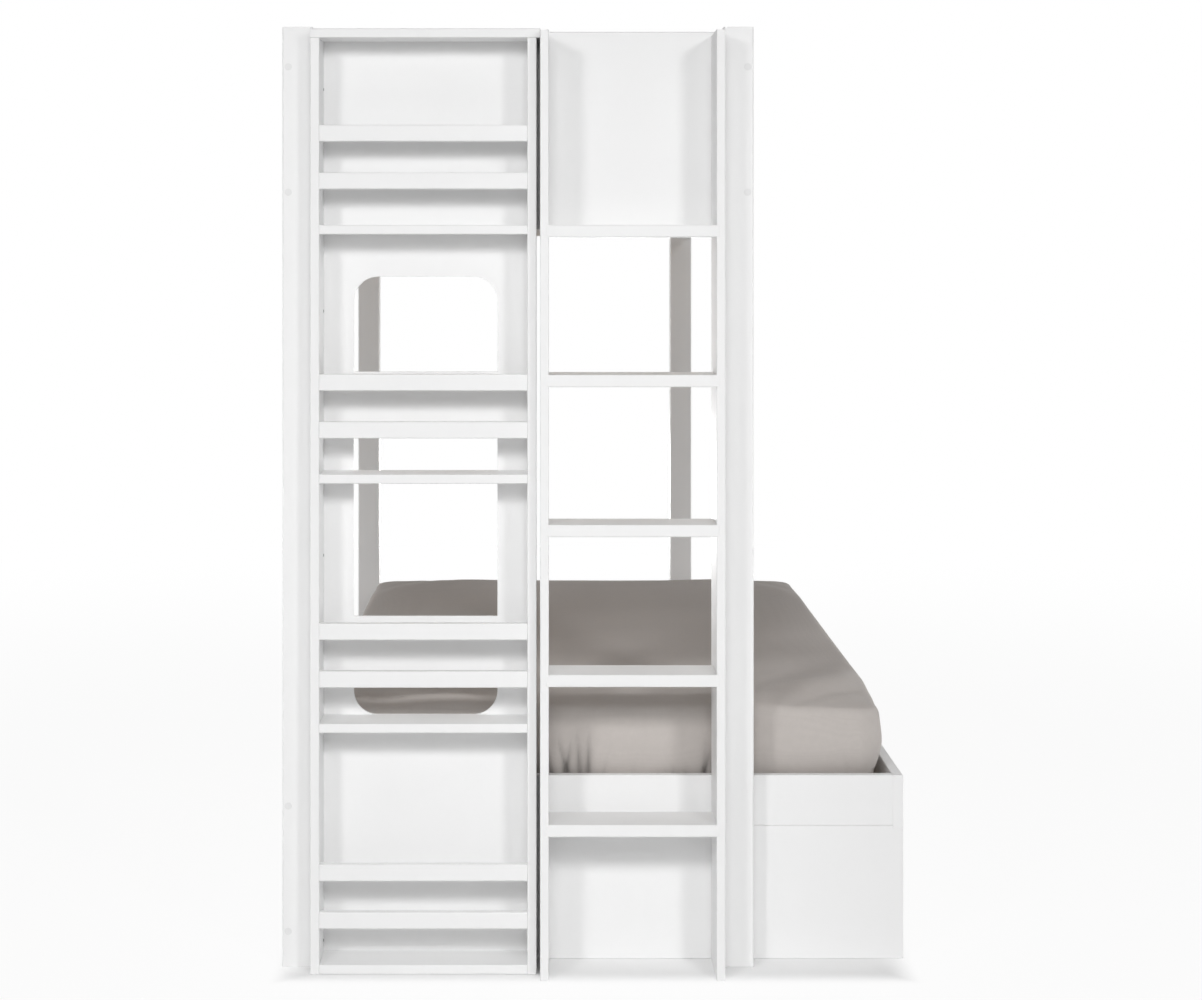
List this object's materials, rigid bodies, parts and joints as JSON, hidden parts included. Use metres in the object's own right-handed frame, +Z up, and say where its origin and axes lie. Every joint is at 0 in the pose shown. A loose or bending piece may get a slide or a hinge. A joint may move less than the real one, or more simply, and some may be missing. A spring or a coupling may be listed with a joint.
{
  "type": "bunk bed",
  "caption": "Bunk bed with an end ladder and a rail-fronted bookcase over a wider lower bed whose closed base holds roll-out drawers.",
  "frame": {"origin": "middle of the footprint, on the floor", "axes": "+Z up, -Y towards the end with the ladder and the bookcase, +X towards the side where the drawers open"},
  "size_m": [1.297, 2.1576, 1.95],
  "materials": {
    "white_paint": "white satin paint on board",
    "slat_wood": "planed pine, unfinished",
    "sheet_fabric": "taupe-grey cotton fitted sheet",
    "zinc_steel": "zinc-plated steel",
    "cap_plastic": "white matt plastic",
    "wheel_plastic": "dark grey plastic"
  },
  "bodies": {
    "frame": {"post_near_left": "white_paint", "post_far_left": "white_paint", "post_near_right": "white_paint", "post_far_right": "white_paint", "upper_side_panel_left": "white_paint", "upper_side_panel_right": "white_paint", "low_side_panel_left": "white_paint", "upper_end_panel_near": "white_paint", "upper_end_panel_far": "white_paint", "bed_bolts": "zinc_steel", "bolt_caps": "cap_plastic", "upper_cleats": "slat_wood", "upper_slats": "slat_wood", "upper_mattress": "sheet_fabric", "lower_side_board_left": "white_paint", "lower_side_board_right": "white_paint", "lower_end_board_near": "white_paint", "lower_end_board_far": "white_paint", "base_end_panel_near": "white_paint", "base_end_panel_far": "white_paint", "base_back_panel": "white_paint", "base_divider": "white_paint", "lower_cleats": "slat_wood", "lower_centre_rail": "slat_wood", "lower_slats": "slat_wood", "lower_mattress": "sheet_fabric", "bookcase_side_left": "white_paint", "bookcase_side_right": "white_paint", "bookcase_top": "white_paint", "bookcase_bottom": "white_paint", "bookcase_back": "white_paint", "bookcase_shelf_1": "white_paint", "bookcase_shelf_2": "white_paint", "bookcase_shelf_3": "white_paint", "book_rails_1": "white_paint", "book_rails_2": "white_paint", "book_rails_3": "white_paint", "book_rails_4": "white_paint", "ladder_step_1": "white_paint", "ladder_step_2": "white_paint", "ladder_step_3": "white_paint", "ladder_step_4": "white_paint", "ladder_step_5": "white_paint", "ladder_stringer_left": "white_paint", "ladder_stringer_right": "white_paint"},
    "drawer_1": {"drawer_1_front": "white_paint", "drawer_1_walls": "white_paint", "drawer_1_bottom": "white_paint", "drawer_1_castor_forks": "zinc_steel"},
    "drawer_1_front_wheels": {"drawer_1_front_wheels": "wheel_plastic"},
    "drawer_1_back_wheels": {"drawer_1_back_wheels": "wheel_plastic"},
    "drawer_2": {"drawer_2_front": "white_paint", "drawer_2_walls": "white_paint", "drawer_2_bottom": "white_paint", "drawer_2_castor_forks": "zinc_steel"},
    "drawer_2_front_wheels": {"drawer_2_front_wheels": "wheel_plastic"},
    "drawer_2_back_wheels": {"drawer_2_back_wheels": "wheel_plastic"}
  },
  "joints": [
    {"name": "drawer_1_slide", "type": "slide", "parent": "frame", "child": "drawer_1", "axis": [1, 0, 0], "range_m": [0, 0.55]},
    {"name": "drawer_1_front_wheels_spin", "type": "hinge", "parent": "drawer_1", "child": "drawer_1_front_wheels", "pos_m": [0.5695, -0.4358, 0.022], "axis": [0, 1, 0], "range_deg": [-10, 1450]},
    {"name": "drawer_1_back_wheels_spin", "type": "hinge", "parent": "drawer_1", "child": "drawer_1_back_wheels", "pos_m": [-0.0105, -0.4358, 0.022], "axis": [0, 1, 0], "range_deg": [-10, 1450]},
    {"name": "drawer_2_slide", "type": "slide", "parent": "frame", "child": "drawer_2", "axis": [1, 0, 0], "range_m": [0, 0.55]},
    {"name": "drawer_2_front_wheels_spin", "type": "hinge", "parent": "drawer_2", "child": "drawer_2_front_wheels", "pos_m": [0.5695, 0.5282, 0.022], "axis": [0, 1, 0], "range_deg": [-10, 1450]},
    {"name": "drawer_2_back_wheels_spin", "type": "hinge", "parent": "drawer_2", "child": "drawer_2_back_wheels", "pos_m": [-0.0105, 0.5282, 0.022], "axis": [0, 1, 0], "range_deg": [-10, 1450]}
  ],
  "couplings": [
    {"joint": "drawer_1_front_wheels_spin", "follows": "drawer_1_slide", "rad_per_m": 45.455},
    {"joint": "drawer_1_back_wheels_spin", "follows": "drawer_1_slide", "rad_per_m": 45.455},
    {"joint": "drawer_2_front_wheels_spin", "follows": "drawer_2_slide", "rad_per_m": 45.455},
    {"joint": "drawer_2_back_wheels_spin", "follows": "drawer_2_slide", "rad_per_m": 45.455}
  ]
}
